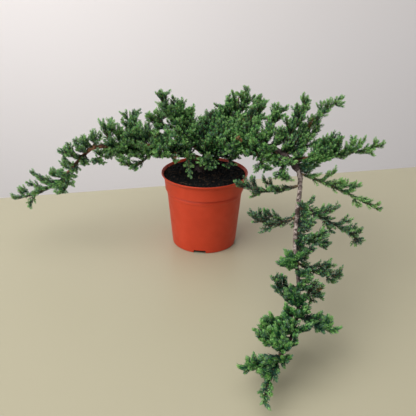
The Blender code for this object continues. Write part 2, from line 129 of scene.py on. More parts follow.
def add_node(material, kind, inputs=(), settings=()):
    """One shader node, with its settings and with its sockets set or linked."""
    node = material.node_tree.nodes.new("ShaderNode" + kind)
    for key, value in settings:
        setattr(node, key, value)
    for socket, value in inputs:
        if isinstance(value, bpy.types.NodeSocket):
            material.node_tree.links.new(value, node.inputs[socket])
        else:
            node.inputs[socket].default_value = value
    return node


def new_finish(name, colour, roughness, shine=0.5):
    """A finish of one plain colour, with its shader, which may be given more."""
    material = bpy.data.materials.new(name)
    material.use_nodes = True
    surface = material.node_tree.nodes["Principled BSDF"]
    surface.inputs["Base Color"].default_value = (*colour, 1.0)
    surface.inputs["Roughness"].default_value = roughness
    surface.inputs["Specular IOR Level"].default_value = shine
    return material, surface


def specks(material, scale, detail):
    """Soft specks all over the object, about so many to the metre, as a share from 0 to 1."""
    place = add_node(material, "TexCoord").outputs["Object"]
    pattern = (("Vector", place), ("Scale", scale), ("Detail", detail))
    return add_node(material, "TexNoise", pattern).outputs["Fac"]


def stretched(material, share, low, high, to_low=0.0, to_high=1.0):
    """A share stretched from one range to another."""
    ends = (("From Min", low), ("From Max", high), ("To Min", to_low), ("To Max", to_high))
    return add_node(material, "MapRange", (("Value", share), *ends)).outputs["Result"]


def mottled(material, scale, detail, colours):
    """A colour that wanders between the colours given with their places in the specks."""
    ramp = add_node(material, "ValToRGB", (("Fac", specks(material, scale, detail)),))
    stops = ramp.color_ramp.elements
    while len(stops) < len(colours):
        stops.new(0.5)
    for stop, (share, colour) in zip(stops, colours):
        stop.position = share
        stop.color = (*colour, 1.0)
    return ramp.outputs["Color"]


def set_relief(material, surface, height, strength, depth):
    """Fine relief on a surface, from a share of its depth in metres."""
    relief = (("Strength", strength), ("Distance", depth), ("Height", height))
    bump = add_node(material, "Bump", relief)
    material.node_tree.links.new(bump.outputs["Normal"], surface.inputs["Normal"])


def orange_plastic():
    """Satin polypropylene with the fine grain of a spark-eroded mould and a little handling haze."""
    material, surface = new_finish("orange_plastic", ORANGES[1][1], 0.45)
    link = material.node_tree.links.new
    link(mottled(material, 55.0, 4.0, ORANGES), surface.inputs["Base Color"])
    haze = stretched(material, specks(material, 130.0, 5.0), 0.3, 0.7, 0.40, 0.54)
    link(haze, surface.inputs["Roughness"])
    grain = specks(material, 2400.0, 2.0)
    waves = specks(material, 70.0, 2.0)
    both = add_node(
        material, "Math", ((0, grain), (1, 0.25), (2, waves)), (("operation", "MULTIPLY_ADD"),))
    set_relief(material, surface, both.outputs["Value"], 0.35, 0.0004)
    return material


pot = turned_shell("nursery_pot", POT_OUTLINE, POT_SEGMENTS)
for number in range(NOTCHES):
    cut_notch(pot, FIRST_NOTCH + number * tau / NOTCHES)
pot.data.materials.clear()
pot.data.materials.append(orange_plastic())
pot.data.shade_smooth()
pot.data.set_sharp_from_angle(angle=SHARP_FOLD)
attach(pot, "root")
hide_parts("pot")

# ---- Potting mix ----
# Dark peat and bark compost that fills the pot to just under the lip, pressed in by hand. Its top
# is lumpy, with loose crumbs, a few brown chips and short root fibres lying on it.
SOIL_TOP = 90.4
SOIL_EDGE = 89.6
SOIL_SETTLED = 0.35
SOIL_LUMPS = ((0.55, 6.5, 3.1), (0.42, 2.2, 7.7))  # (height, width, place in the noise)
SOIL_FLAT = 26.0
SOIL_RADIUS = 49.4
SOIL_SIDE = ((37.5, 1.65), (43.8, 66.5), (44.2, 71.6), (47.7, 86.4))
SOIL_ROUND = 132
SOIL_RINGS = 46
CRUMBS = 2300
CRUMB_SMALLEST, CRUMB_GROWTH = 0.45, 1.1
CRUMB_SHARES = (86, 12, 2)  # of peat, bark chips and chaff
CRUMB_STRETCH = (0.6, 1.35)
CRUMB_TO_EDGE = 0.8
FIBRES = 90
FIBRE_KNOTS = 5
FIBRE_LENGTH = (3, 9)
FIBRE_BEND = (-0.7, 0.7)
FIBRE_THICKNESS = (0.1, 0.28)
FIBRE_TO_EDGE = 7
FIBRE_LIFT = 0.35
PEAT = ((0.3, (0.0025, 0.0032, 0.0036)), (0.54, (0.006, 0.007, 0.0075)), (0.76, (0.016, 0.015, 0.013)))
BARK_CHIP = ((0.3, (0.018, 0.012, 0.008)), (0.5, (0.034, 0.021, 0.013)), (0.7, (0.07, 0.044, 0.028)))
CHAFF = ((0.3, (0.05, 0.032, 0.020)), (0.5, (0.09, 0.058, 0.036)), (0.7, (0.15, 0.10, 0.065)))


def soil_height(x, y):
    """The height of the mix's surface, lumps and all, at a place in the pot."""
    radius = hypot(x, y)
    fall = max(0.0, (radius - SOIL_FLAT) / (SOIL_RADIUS - SOIL_FLAT))
    lumps = sum(high * noise.noise(Vector((x / wide, y / wide, at))) for high, wide, at in SOIL_LUMPS)
    return SOIL_TOP - SOIL_SETTLED - (SOIL_TOP - SOIL_EDGE) * fall + lumps


def compost(name, colours, scale):
    """Damp compost, quite matt, with a gritty relief."""
    material, surface = new_finish(name, colours[1][1], 0.95, 0.2)
    material.node_tree.links.new(mottled(material, scale, 6.0, colours), surface.inputs["Base Color"])
    set_relief(material, surface, specks(material, 900.0, 4.0), 0.8, 0.0006)
    return material


def mesh_of(name, points, triangles, materials, tones=None, smooth=False):
    """Points in millimetres and triangles, as one joined piece that rides on the root."""
    mesh = bpy.data.meshes.new(name)
    mesh.vertices.add(len(points))
    mesh.vertices.foreach_set("co", (np.asarray(points, np.float32) * MM).ravel())
    mesh.loops.add(len(triangles) * 3)
    mesh.loops.foreach_set("vertex_index", np.asarray(triangles, np.int32).ravel())
    mesh.polygons.add(len(triangles))
    mesh.polygons.foreach_set("loop_start", np.arange(0, len(triangles) * 3, 3, dtype=np.int32))
    for material in materials:
        mesh.materials.append(material)
    if tones is not None:
        mesh.polygons.foreach_set("material_index", np.asarray(tones, np.int32))
    mesh.polygons.foreach_set("use_smooth", np.full(len(triangles), smooth))
    mesh.update(calc_edges=True)
    mesh.validate()
    piece = set_out(name, mesh)
    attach(piece, "root")
    return piece


def tube_triangles(rings, sides, first=0):
    """The triangles of a tube whose points run round its rings, one ring after another."""
    triangles = []
    for ring in range(rings - 1):
        for k in range(sides):
            a = first + ring * sides + k
            b = first + ring * sides + (k + 1) % sides
            triangles += [(a, b, b + sides), (a, b + sides, a + sides)]
    return triangles


def closed_tube(rings, sides):
    """A tube's triangles with its ends closed to two more points, the foot's and then the tip's."""
    triangles = tube_triangles(rings, sides)
    last = (rings - 1) * sides
    foot = rings * sides
    for k in range(sides):
        triangles.append(((k + 1) % sides, k, foot))
        triangles.append((last + k, last + (k + 1) % sides, foot + 1))
    return triangles


def mix_plug():
    """The body of the mix: a lumpy top, sides against the pot's wall and a flat underside."""
    angles = [tau * k / SOIL_ROUND for k in range(SOIL_ROUND)]
    points = []
    for radius, height in SOIL_SIDE:
        points += [(radius * cos(a), radius * sin(a), height) for a in angles]
    for step in range(SOIL_RINGS):
        radius = SOIL_RADIUS * (1 - step / SOIL_RINGS)
        for a in angles:
            x, y = radius * cos(a), radius * sin(a)
            points.append((x, y, soil_height(x, y)))
    points += [(0, 0, SOIL_SIDE[0][1]), (0, 0, soil_height(0, 0))]
    return points, closed_tube(len(SOIL_SIDE) + SOIL_RINGS, SOIL_ROUND)


def mix_crumbs(chance):
    """Loose crumbs: uneven eight-sided lumps, sunk a little in the surface."""
    corners = np.array([(1, 0, 0), (-1, 0, 0), (0, 1, 0), (0, -1, 0), (0, 0, 1), (0, 0, -1)], float)
    sides = np.array([
        (0, 2, 4), (2, 1, 4), (1, 3, 4), (3, 0, 4), (2, 0, 5), (1, 2, 5), (3, 1, 5), (0, 3, 5)])
    points, triangles, tones = [], [], []
    for number in range(CRUMBS):
        radius = (SOIL_RADIUS - CRUMB_TO_EDGE) * sqrt(chance.random())
        angle = chance.uniform(0, tau)
        x, y = radius * cos(angle), radius * sin(angle)
        size = CRUMB_SMALLEST + CRUMB_GROWTH * chance.random() ** 3
        tone = chance.choices((0, 1, 2), CRUMB_SHARES)[0]
        lump = corners * [[size * chance.uniform(*CRUMB_STRETCH) for _ in range(3)] for _ in range(6)]
        roll = chance.uniform(0, tau)
        axle = Vector([chance.gauss(0, 1) for _ in range(3)])
        lump = lump @ np.array(Matrix.Rotation(roll, 3, axle))
        points.append(lump + (x, y, soil_height(x, y) + 0.25 * size))
        triangles.append(sides + 6 * number)
        tones += [tone] * 8
    return np.concatenate(points), np.concatenate(triangles), tones


def mix_fibres(chance):
    """Short root fibres and bark slivers: bent three-sided threads lying on the surface."""
    points, triangles = [], []
    for number in range(FIBRES):
        radius = (SOIL_RADIUS - FIBRE_TO_EDGE) * sqrt(chance.random())
        angle = chance.uniform(0, tau)
        heading = chance.uniform(0, tau)
        x, y = radius * cos(angle), radius * sin(angle)
        step = chance.uniform(*FIBRE_LENGTH) / (FIBRE_KNOTS - 1)
        bend = chance.uniform(*FIBRE_BEND)
        thick = chance.uniform(*FIBRE_THICKNESS)
        for knot in range(FIBRE_KNOTS):
            ahead = heading + bend * knot / 2
            x += cos(ahead) * step
            y += sin(ahead) * step
            centre = Vector((x, y, soil_height(x, y) + FIBRE_LIFT + chance.uniform(0, 0.5)))
            size = thick * (1.15 - 0.2 * knot)
            across = Vector((-sin(ahead), cos(ahead), 0)) * size
            points += [centre + across, centre - across, centre + Vector((0, 0, size * 1.4))]
        first = 3 * FIBRE_KNOTS * number
        last = first + 3 * (FIBRE_KNOTS - 1)
        triangles += tube_triangles(FIBRE_KNOTS, 3, first)
        triangles += [(first, first + 2, first + 1), (last, last + 1, last + 2)]
    return points, triangles


peat = compost("peat", PEAT, 160.0)
bark_chip = compost("bark_chip", BARK_CHIP, 300.0)
chaff = compost("chaff", CHAFF, 300.0)
chance = random.Random(4)
plug = mesh_of("potting_mix_body", *mix_plug(), [peat])
points, triangles, tones = mix_crumbs(chance)
crumbs = mesh_of("potting_mix_crumbs", points, triangles, [peat, bark_chip, chaff], tones)
fibres = mesh_of("potting_mix_fibres", *mix_fibres(chance), [chaff])
for piece in (plug, crumbs, fibres):
    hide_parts("potting_mix")

# ---- Trunk and boughs ----
# The live wood: a short leaning trunk and nine tapering boughs that grow out of it. Young wood has
# thin red-brown bark. Old wood has grey bark in plates, darker where it stays on. The trunk, the
# lower cascade and the right bough are painted darker still, as shade.
WOOD_GAP = 0.35
TRUNK_FOOT = (-5.0, 8.0, 90.45)
TRUNK_TOP = (7.0, 3.0, 118.0)
TRUNK_BOW = (-2, 0, 0)
TRUNK_RADII = (6.4, 4.9)
TRUNK_BURIED = 3.0
UPRIGHT = np.array((0, 0, 1.0))
ROOT_FLARE = 2.6
FLARE_FADE = 7.0
LEAD = 0.12
# name: (parent, place along the parent, tip, bow of the middle, (root radius, tip radius), old bark)
LIMBS = {
    "bough_left_inner": ("trunk", 0.55, (-130, -18, 127), (0, -8, 13), (3.4, 2.5), False),
    "bough_left_outer": ("bough_left_inner", 1.0, (-171, -18, 86), (2, 0, 2), (2.4, 1.4), False),
    "bough_right": ("trunk", 1.0, (101, -80, 126), (4, -4, 27), (4.2, 3.3), True),
    "cascade_upper": ("bough_right", 1.0, (90, -181, 73), (-3, 2, 2), (2.6, 1.9), True),
    "cascade_lower": ("cascade_upper", 1.0, (69, -276, 29), (15, 2, 0), (1.9, 1.3), True),
    "bough_right_tip": ("bough_right", 0.93, (133, -73, 139), (0, 0, 2), (2.2, 1.7), False),
    "leader_left": ("trunk", 0.8, (-34, 10, 152), (-4, 3, -4), (3.2, 1.9), False),
    "leader_right": ("trunk", 0.93, (36, 16, 154), (3, 4, -4), (3.2, 1.9), False),
    "bough_rear": ("trunk", 0.6, (6, 56, 128), (0, 2, 6), (3.0, 1.9), False),
}
# limbs whose whole bark is painted darker, as shade
PAINTED_SHADE_LIMBS = ("trunk", "cascade_lower", "bough_right")
BARK_ROUND = 28
BARK_PITCH = 0.75
TIP_DOME = 0.8
# how far plates, strips, fibres and knots stand off the wood, as shares of its radius
OLD_RELIEF = (0.15, 0.09, 0.05, 0.55)
YOUNG_RELIEF = (0.08, 0.06, 0.04, 0.40)
RED_BARK = ((0.32, (0.12, 0.050, 0.028)), (0.5, (0.26, 0.115, 0.062)), (0.7, (0.44, 0.24, 0.15)))
GREY_BARK = ((0.32, (0.065, 0.044, 0.037)), (0.48, (0.25, 0.195, 0.168)), (0.64, (0.50, 0.42, 0.375)))
# the darker bark painted on those limbs as shade
PAINTED_SHADE_BARK = ((0.32, (0.035, 0.022, 0.020)), (0.5, (0.095, 0.066, 0.060)), (0.68, (0.20, 0.155, 0.145)))


def bent(start, tip, bow, lead=None):
    """The four handles of a curve whose middle stands off its chord by `bow`. With a lead, it
    leaves the start in that direction."""
    start, tip, bow = np.array(start, float), np.array(tip, float), np.array(bow, float)
    handle = (start + tip) / 2 + 2 * bow
    span = norm(tip - start)
    first = start + (handle - start) * 2 / 3 if lead is None else start + lead * span * LEAD
    return np.array([start, first, tip + (handle - tip) * 2 / 3, tip])


def on_curve(curve, shares):
    """Points of curves, given as (..., 4, 3) handles, at shares (...)."""
    t = np.asarray(shares, float)[..., None]
    a, b, c, d = (curve[..., k, :] for k in range(4))
    return (1 - t) ** 3 * a + 3 * t * (1 - t) ** 2 * b + 3 * t * t * (1 - t) * c + t**3 * d


def heading_on(curve, shares):
    """The ways that curves run at those shares."""
    t = np.asarray(shares, float)[..., None]
    a, b, c, d = (curve[..., k, :] for k in range(4))
    way = (1 - t) ** 2 * (b - a) + 2 * t * (1 - t) * (c - b) + t * t * (d - c)
    return way / norm(way, axis=-1, keepdims=True)


def square_frame(direction):
    """(side, up) square to a direction, with `up` as high as it can be."""
    side = np.cross(direction, (0, 0, 1.0))
    if norm(side) < 0.2:
        side = np.cross(direction, (0, 1.0, 0))
    side /= norm(side)
    return side, np.cross(side, direction)


def carried_frames(points):
    """(side, up) at every point of a line, carried along without twist from a level start."""
    ways = np.gradient(points, axis=0)
    ways /= norm(ways, axis=1, keepdims=True)
    side = square_frame(ways[0])[0]
    frames = []
    for way in ways:
        side = side - way * side.dot(way)
        side /= norm(side)
        frames.append((side, np.cross(side, way)))
    return frames


def depth_outside(points):
    """How far each point lies outside the nearest limb so far, or less than 0 inside one."""
    axes = np.concatenate([limb["axis"] for limb in limbs.values()])
    radii = np.concatenate([limb["thick"] for limb in limbs.values()])
    return (norm(points[:, None] - axes[None], axis=2) - radii).min(axis=1)


def clear_share(curve, radius):
    """The share of a curve at which a round end of that size first clears every limb."""
    span = norm(curve[3] - curve[0])
    for share in np.arange(0, 24, 0.25) / span:
        way = heading_on(curve, share)
        side, up = square_frame(way)
        middle = on_curve(curve, share)
        rim = [middle + radius * (cos(a) * side + sin(a) * up) for a in range(7)]
        if depth_outside(np.array(rim)).min() >= WOOD_GAP * 0.6:
            return share
    raise ValueError("a shoot never leaves its limb")


def steps_along(curve, first=0.0):
    """How many steps of about a millimetre a curve is followed in, from a share of it on."""
    return max(4, round(norm(curve[3] - curve[0]) * (1 - first)))


def radii_at(shares, radii, flare):
    """The radii of a limb along what shows of it: an even taper, swollen at its root."""
    return radii[0] + (radii[1] - radii[0]) * shares + flare * np.exp(-FLARE_FADE * shares)


def grow_limb(curve, first, radii, flare=0.0):
    """A limb as its curve, the share where it shows, and its axis and thickness from there."""
    shares = np.linspace(0, 1, steps_along(curve, first) + 1)
    axis = on_curve(curve, first + (1 - first) * shares)
    thick = radii_at(shares, radii, flare)
    return dict(curve=curve, first=first, axis=axis, thick=thick, radii=radii, flare=flare)


def curve_from(limb, place, tip, bow, radius):
    """What grows from a limb: on from its tip, or out of its side, with the share where it shows."""
    share = limb["first"] + (1 - limb["first"]) * place
    point = on_curve(limb["curve"], share)
    if place == 1.0:
        way = heading_on(limb["curve"], share)
        return bent(point + way * WOOD_GAP, tip, bow, way), 0.0
    curve = bent(point, tip, bow)
    return curve, clear_share(curve, radius)


def flakes(angle, length, radius, relief):
    """How far the bark stands off the wood: long plates that lift at their edges, and ring scars."""
    x, y = 1.9 * cos(angle), 1.9 * sin(angle)
    plates = noise.noise(Vector((x, y, length / 5.5)))
    strips = noise.noise(Vector((2.3 * x, 2.3 * y, length / 9.0 + 31)))
    fibres = noise.noise(Vector((4 * x, 4 * y, length / 1.6 + 63)))
    knots = max(0.0, noise.noise(Vector((x * 0.7, y * 0.7, length / 7.0 + 97))) - 0.18)
    lifted = abs(plates) ** 0.7 * copysign(1, plates)
    return radius * (relief[0] * lifted + relief[1] * strips + relief[2] * fibres + relief[3] * knots)


def bark_mesh(name, limb, relief, material):
    """The limb with its bark's relief, from inside its parent to its domed tip."""
    curve = limb["curve"]
    count = max(8, round(norm(curve[3] - curve[0]) / BARK_PITCH))
    shares = np.linspace(0, 1, count + 1)
    points = on_curve(curve, shares)
    shown = np.clip((shares - limb["first"]) / (1 - limb["first"]), 0, 1)
    radii = radii_at(shown, limb["radii"], limb["flare"])
    run = np.concatenate([[0], np.cumsum(norm(np.diff(points, axis=0), axis=1))])
    corners = []
    for centre, (side, up), radius, length in zip(points, carried_frames(points), radii, run):
        for k in range(BARK_ROUND):
            angle = tau * k / BARK_ROUND
            reach = radius + flakes(angle, length, radius, relief)
            corners.append(centre + reach * (cos(angle) * side + sin(angle) * up))
    corners += [points[0], points[-1] + heading_on(curve, 1.0) * radii[-1] * TIP_DOME]
    return mesh_of(name, corners, closed_tube(count + 1, BARK_ROUND), [material], smooth=True)


def covered(material, share, under, over):
    """One colour covered by another, as far as the share says."""
    colours = (("Factor", share), (6, under), (7, over))
    return add_node(material, "Mix", colours, (("data_type", "RGBA"),)).outputs[2]


def bark(name, colours, hollow, unpeeled):
    """Bark, quite matt: mottled where it has peeled, darker where it hasn't, darkest in its cracks."""
    material, surface = new_finish(name, colours[1][1], 0.85, 0.25)
    peeled = mottled(material, 260.0, 6.0, colours)
    blotches = stretched(material, specks(material, 75.0, 3.0), 0.50, 0.58)
    skin = covered(material, blotches, peeled, (*unpeeled, 1.0))
    cracks = specks(material, 620.0, 5.0)
    colour = covered(material, stretched(material, cracks, 0.36, 0.46), (*hollow, 1.0), skin)
    material.node_tree.links.new(colour, surface.inputs["Base Color"])
    set_relief(material, surface, cracks, 0.9, 0.0006)
    return material


young_bark = bark("young_bark", RED_BARK, (0.055, 0.022, 0.014), (0.095, 0.048, 0.034))
old_bark = bark("old_bark", GREY_BARK, (0.030, 0.018, 0.015), (0.065, 0.044, 0.037))
# a darker bark: painted shade on the trunk, the lower cascade and the right bough
painted_shade_bark = bark("painted_shade_bark", PAINTED_SHADE_BARK, (0.014, 0.009, 0.009), (0.045, 0.030, 0.028))
trunk_curve = bent(TRUNK_FOOT, TRUNK_TOP, TRUNK_BOW, UPRIGHT)
limbs = {"trunk": grow_limb(trunk_curve, 0.0, TRUNK_RADII, ROOT_FLARE)}
for name, (parent, place, tip, bow, radii, old) in LIMBS.items():
    curve, first = curve_from(limbs[parent], place, tip, bow, radii[0])
    limbs[name] = grow_limb(curve, first, radii)
for name, limb in limbs.items():
    if name == "trunk":
        buried_foot = (*TRUNK_FOOT[:2], SOIL_TOP - TRUNK_BURIED)
        limb = dict(limb, curve=bent(buried_foot, TRUNK_TOP, TRUNK_BOW, UPRIGHT))
    old = name == "trunk" or LIMBS[name][5]
    skin = painted_shade_bark if name in PAINTED_SHADE_LIMBS else old_bark if old else young_bark
    piece = bark_mesh(f"bark_{name}", limb, OLD_RELIEF if old else YOUNG_RELIEF, skin)
    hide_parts(name)

# ---- Shoots ----
# Every mass of foliage is one leafy stem that grows from a limb, with side twigs, and short finger
# shoots on both. All of it is green-barked wood a millimetre or two thick, under its needles.
# name: (limb, place along it, tip, bow of the middle, length of the longest side twig, twigs, seed)
MASSES = {
    # the long left bough, from its far tip inwards
    "left_far": ("bough_left_outer", 1.0, (-230, -20, 63), (3, 0, -6), 31, 9, 11),
    "left_rise": ("bough_left_outer", 0.35, (-165, -30, 128), (2, -3, -4), 20, 5, 12),
    "left_drop": ("bough_left_outer", 0.92, (-165, -42, 80), (2, -4, -2), 15, 4, 13),
    "left_shoot": ("bough_left_outer", 0.05, (-123, -26, 139), (-2, 3, -2), 16, 6, 16),
    "left_crest": ("bough_left_inner", 0.8, (-109, -26, 156), (-4, -4, 0), 21, 7, 17),
    "left_plume": ("bough_left_inner", 0.6, (-83, -6, 166), (-5, 2, 0), 23, 7, 18),
    "left_under": ("bough_left_inner", 0.87, (-119, -46, 120), (-2, -6, -2), 16, 6, 19),
    "left_loop": ("bough_left_inner", 0.42, (-99, -40, 120), (0, -4, -12), 18, 6, 20),
    "left_rear": ("bough_left_inner", 0.5, (-92, 26, 127), (0, 6, 4), 24, 6, 21),
    # the crown over the pot, left half
    "crown_left_tall": ("leader_left", 1.0, (-52, 2, 184), (-4, 0, 2), 24, 7, 31),
    "crown_left_top": ("leader_left", 0.85, (-34, 18, 167), (4, 6, 0), 24, 7, 32),
    "crown_left_side": ("leader_left", 0.65, (-67, 2, 155), (-2, -4, 4), 23, 6, 33),
    "crown_left_low": ("bough_left_inner", 0.25, (-55, -44, 126), (2, -6, 0), 20, 6, 34),
    "crown_left_front": ("leader_left", 0.5, (-30, -34, 142), (0, -8, 4), 25, 7, 35),
    "crown_left_back": ("leader_left", 0.7, (-54, 46, 146), (0, 6, 6), 26, 6, 36),
    "crown_front": ("trunk", 0.72, (5, -38, 110), (0, -4, 10), 23, 7, 37),
    "soil_tuft": ("bough_left_inner", 0.1, (-17, -31, 97), (-1, -7, 8), 10, 3, 38),
    # the crown over the pot, right half
    "crown_middle": ("leader_right", 0.45, (1, 24, 147), (-2, 4, 0), 26, 6, 41),
    "crown_right_tall": ("leader_right", 1.0, (48, 8, 186), (4, 0, 0), 27, 7, 43),
    "crown_right_inner": ("leader_right", 0.85, (27, 24, 164), (-3, 6, 0), 24, 6, 44),
    "crown_right_back": ("leader_right", 0.8, (69, 40, 168), (6, 4, 0), 26, 6, 45),
    "crown_right_low": ("trunk", 0.85, (32, -37, 115), (4, -4, 6), 22, 6, 46),
    "crown_right_front": ("bough_right", 0.3, (34, -58, 140), (-2, -8, 2), 22, 7, 47),
    "crown_right_side": ("bough_right", 0.38, (69, 0, 175), (2, 4, 0), 25, 8, 48),
    # the right bough and its fork
    "right_crest": ("bough_right", 0.6, (87, -26, 179), (2, 4, 0), 23, 7, 51),
    "right_plume": ("bough_right", 0.8, (110, -54, 197), (2, 0, 0), 25, 8, 52),
    "right_front": ("bough_right", 0.55, (67, -84, 127), (-2, -4, 2), 24, 7, 53),
    "right_under": ("bough_right", 0.75, (84, -104, 124), (2, -6, 2), 20, 6, 54),
    "right_rear": ("bough_right", 0.7, (112, -18, 146), (4, 6, 4), 24, 6, 55),
    "right_inner_lift": ("bough_right", 0.96, (126, -48, 166), (0, 4, 2), 19, 7, 56),
    "right_lift": ("bough_right", 0.86, (148, -50, 198), (-4, 4, 0), 22, 7, 57),
    "right_far": ("bough_right_tip", 1.0, (191, -70, 152), (0, 0, -2), 27, 9, 58),
    "right_droop": ("cascade_upper", 0.08, (189, -102, 89), (0, 0, 2), 26, 7, 59),
    # the branch that trails down to the table
    "cascade_left_upper": ("cascade_upper", 0.28, (34, -95, 115), (0, -2, -7), 24, 7, 61),
    "cascade_left_lower": ("cascade_upper", 0.62, (46, -128, 96), (0, -2, -10), 21, 7, 62),
    "cascade_right_upper": ("cascade_upper", 0.54, (164, -136, 68), (0, 0, 3), 26, 9, 73),
    "cascade_right_middle": ("cascade_upper", 0.76, (120, -160, 80), (0, 0, -3), 26, 7, 64),
    "cascade_right_lower": ("cascade_lower", 0.08, (134, -188, 58), (0, 0, -5), 22, 7, 65),
    "cascade_left_tuft": ("cascade_lower", 0.4, (68, -214, 64), (0, 2, -6), 19, 6, 67),
    "cascade_right_tuft": ("cascade_lower", 0.34, (111, -218, 52), (0, 0, -2), 17, 6, 68),
    "tail_left": ("cascade_lower", 0.62, (51, -250, 34), (0, 0, -4), 17, 7, 69),
    "tail_right": ("cascade_lower", 0.66, (121, -246, 34), (0, 0, -2), 15, 7, 70),
    "tail_middle_left": ("cascade_lower", 0.86, (50, -262, 38), (0, 0, -3), 14, 6, 74),
    "tail_low_left": ("cascade_lower", 0.97, (37, -288, 23), (0, 0, -4), 13, 5, 75),
    "tail": ("cascade_lower", 1.0, (53, -319, 14), (-4, 0, -1), 13, 4, 77),
    # the back of the crown
    "rear_middle": ("bough_rear", 1.0, (12, 93, 124), (0, 0, 4), 28, 6, 81),
    "rear_left": ("bough_rear", 0.7, (-38, 82, 126), (-4, 4, 4), 26, 6, 82),
    "rear_right": ("bough_rear", 0.55, (60, 64, 134), (4, 4, 4), 26, 6, 83),
}
STEM_RADIUS = 1.3
STEM_THICKNESS = (STEM_RADIUS, 0.6)
CORE_RADIUS = 4.2
TWIG_THICKNESS = (0.85, 0.4)
TWIG_OPENING = 48.0
TWIG_JITTER = 9.0
TWIG_LIFT = 0.12
TWIG_TAPER = 0.70
TWIG_FIRST, TWIG_LAST = 0.16, 0.94
TWIG_AROUND = (65, -65, 0, 120, -120, 15)
TWIG_CUTS = (1.0, 0.75, 0.55)
SHORTEST_TWIG = 7.0
NEIGHBOUR_REACH = 90
TABLE_CLEARANCE = 2.0
POT_TOP, POT_EDGE = 92.0, 52.5
LIP_WIDTH = 9
FINGER_THICKNESS = (0.5, 0.3)
FINGER_PITCH = 2.7
TAIL_FINGER_PITCH = 2.2
FINGER_LENGTH = (10.0, 4.6)
STEM_FINGER_LENGTH = (12.5, 6.0)
FINGER_FIRST = 0.04
FINGER_OPENING = 36.0
FINGER_LIFT = 0.12
FINGER_AROUND = (85, -75, 25, -30, 115, -105, 60, -55)
FINGER_CLEARANCE = 1.0
# (limb, first place, last place, spacing, length there and there, way they face and spread, degrees)
LIMB_SHOOTS = (
    ("trunk", 0.08, 0.40, 1.4, 15, 19, 180, 80),
    ("trunk", 0.30, 1.0, 1.5, 20, 28, 180, 125),
    ("bough_left_inner", 0.12, 0.80, 3.8, 26, 18, 0, 125),
    ("bough_left_inner", 0.05, 0.78, 3.2, 17, 14, -80, 55),
    ("bough_left_inner", 0.25, 0.95, 4.2, 15, 14, -150, 50),
    ("bough_left_inner", 0.38, 0.84, 2.6, 25, 19, 165, 45),
    ("bough_left_outer", 0.02, 0.40, 3.2, 14, 14, 0, 100),
    ("bough_left_outer", 0.60, 1.0, 3.5, 13, 15, 0, 130),
    ("bough_left_outer", 0.15, 1.0, 4.5, 12, 13, -145, 45),
    ("bough_right", 0.04, 0.76, 3.2, 29, 24, 0, 130),
    ("bough_right", 0.78, 1.0, 3.0, 20, 18, -75, 60),
    ("bough_right", 0.10, 0.72, 3.0, 22, 20, 95, 50),
    ("bough_right_tip", 0.45, 1.0, 2.2, 14, 25, 0, 110),
    ("bough_right_tip", 0.10, 0.9, 2.8, 17, 15, 130, 50),
    ("cascade_upper", 0.02, 0.10, 5.0, 13, 10, 0, 120),
    ("cascade_upper", 0.46, 0.95, 3.0, 16, 15, -90, 55),
    ("cascade_lower", 0.02, 0.12, 1.1, 12, 12, 75, 65),
    ("cascade_lower", 0.20, 0.55, 6.0, 10, 10, -85, 60),
    ("cascade_lower", 0.44, 1.0, 3.0, 12, 11, 30, 90),
    ("leader_left", 0.12, 1.0, 3.2, 25, 19, 0, 130),
    ("leader_right", 0.12, 1.0, 3.2, 25, 19, 0, 130),
    ("bough_rear", 0.15, 1.0, 5.0, 22, 20, 0, 130),
    ("bough_right", 0.04, 0.42, 2.6, 26, 24, 180, 75),
)
LIMB_SHOOT_THICKNESS = (0.9, 0.4)
LIMB_SHOOT_OPENING = 54.0
LIMB_SHOOT_LIFT = 0.22
LIMB_SHOOT_CLEARANCE = 1.5
SIDE_SHOOT_THICKNESS = (0.6, 0.3)
SIDE_SHOOT_LENGTH = (11.0, 9.0)
SIDE_SHOOT_FIRST = 0.2
SIDE_SHOOT_PITCH = 6.5
# kind of shoot: (rings and sides of its wood)
WOOD_SHAPES = {"stem": (26, 7), "twig": (9, 5), "finger": (4, 4)}
TWIG_BARK = ((0.35, (0.07, 0.05, 0.02)), (0.5, (0.17, 0.10, 0.05)), (0.65, (0.22, 0.17, 0.07)))


def core_radius(length):
    """How thick a leafy shoot stands at each millimetre: full, then closing to its tip."""
    shares = np.linspace(0, 1, max(4, round(length)) + 1)
    return CORE_RADIUS * 0.85 * np.sqrt(np.clip(1.04 - shares, 0, 1)) * np.clip(shares * 9 + 0.2, 0, 1)


def line_points(curve):
    """A point at about every millimetre of a curve."""
    return on_curve(curve, np.linspace(0, 1, steps_along(curve) + 1))


def side_curve(stem, frames, place, around, opening, length, lift):
    """A shoot off the side of another one: out at its opening angle, then curving up."""
    index = round(place * (len(stem) - 1))
    way = stem[min(index + 1, len(stem) - 1)] - stem[max(index - 1, 0)]
    way = way / norm(way)
    side, up = frames[index]
    outward = cos(around) * up + sin(around) * side
    tip = stem[index] + (cos(opening) * way + sin(opening) * outward + (0, 0, lift)) * length
    return bent(stem[index], tip, (0, 0, -lift * length / 4))


def hits_mix(points, room):
    """True if any point is too close to the pot's lip, the mix inside it or the table."""
    reach = np.hypot(points[:, 0], points[:, 1])
    over_pot = np.where(reach < POT_EDGE + room, POT_TOP, 0.8)
    floor = np.where(reach < POT_EDGE - LIP_WIDTH, SOIL_TOP, over_pot)
    return bool((points[:, 2] < floor + room).any())


